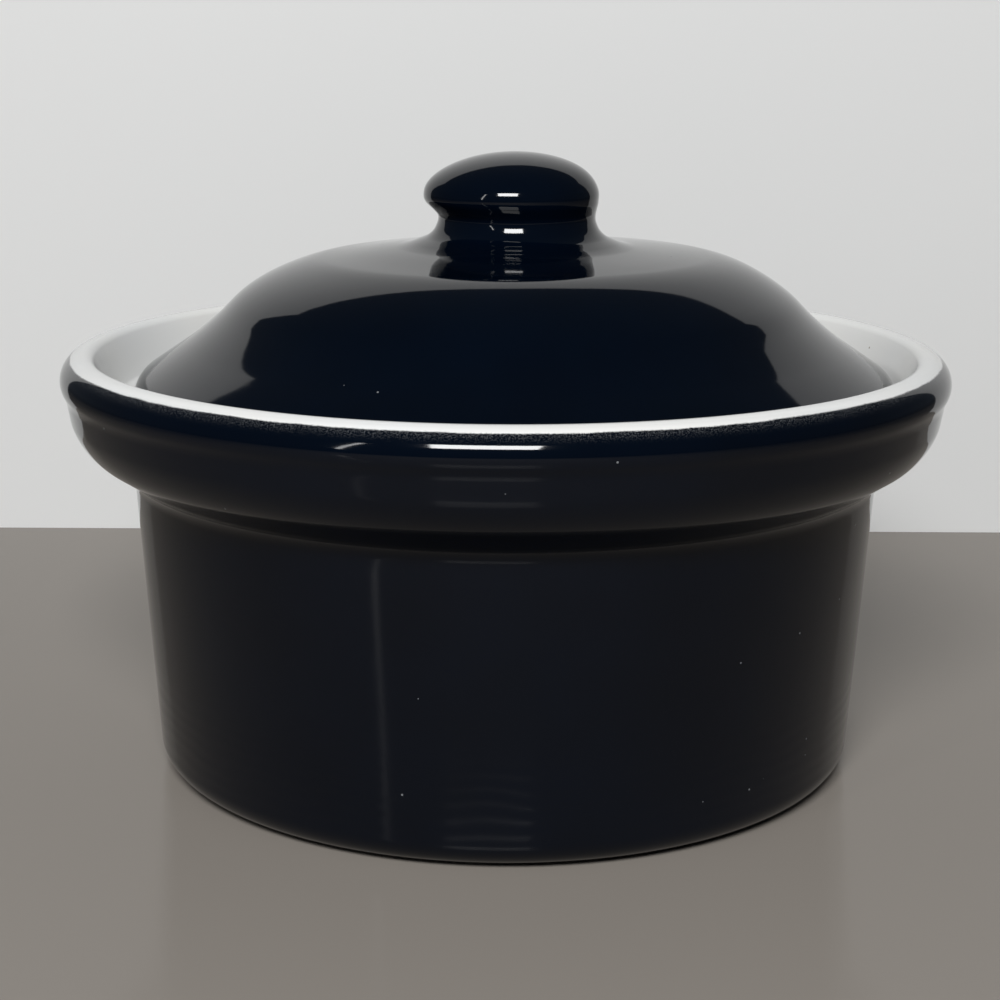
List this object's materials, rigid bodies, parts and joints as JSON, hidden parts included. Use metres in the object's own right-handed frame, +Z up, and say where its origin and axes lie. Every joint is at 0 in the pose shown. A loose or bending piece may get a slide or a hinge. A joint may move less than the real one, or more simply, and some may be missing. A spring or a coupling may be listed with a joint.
{
  "type": "covered baking dish",
  "caption": "Small round stoneware baking dish with a flared collar and a knobbed lid that drops inside the rim onto a ledge; glossy navy outside, white inside.",
  "frame": {"origin": "centre of the foot ring, on the surface that the dish stands on", "axes": "+Z up along the axis of the dish, +X towards the side where the lid lies in its seat, -Y towards the viewer"},
  "size_m": [0.14, 0.14, 0.0971],
  "materials": {
    "dish_glaze": "glossy navy glaze outside, glossy white glaze inside and over the rim, bare foot ring",
    "lid_glaze": "glossy navy glaze on top, glossy white glaze underneath, bare seat ring"
  },
  "bodies": {
    "dish": {"dish": "dish_glaze"},
    "lid": {"lid": "lid_glaze"}
  },
  "joints": [
    {"name": "lid_lift", "type": "slide", "parent": "dish", "child": "lid", "axis": [0, 0, 1], "range_m": [0, 0.12]}
  ]
}
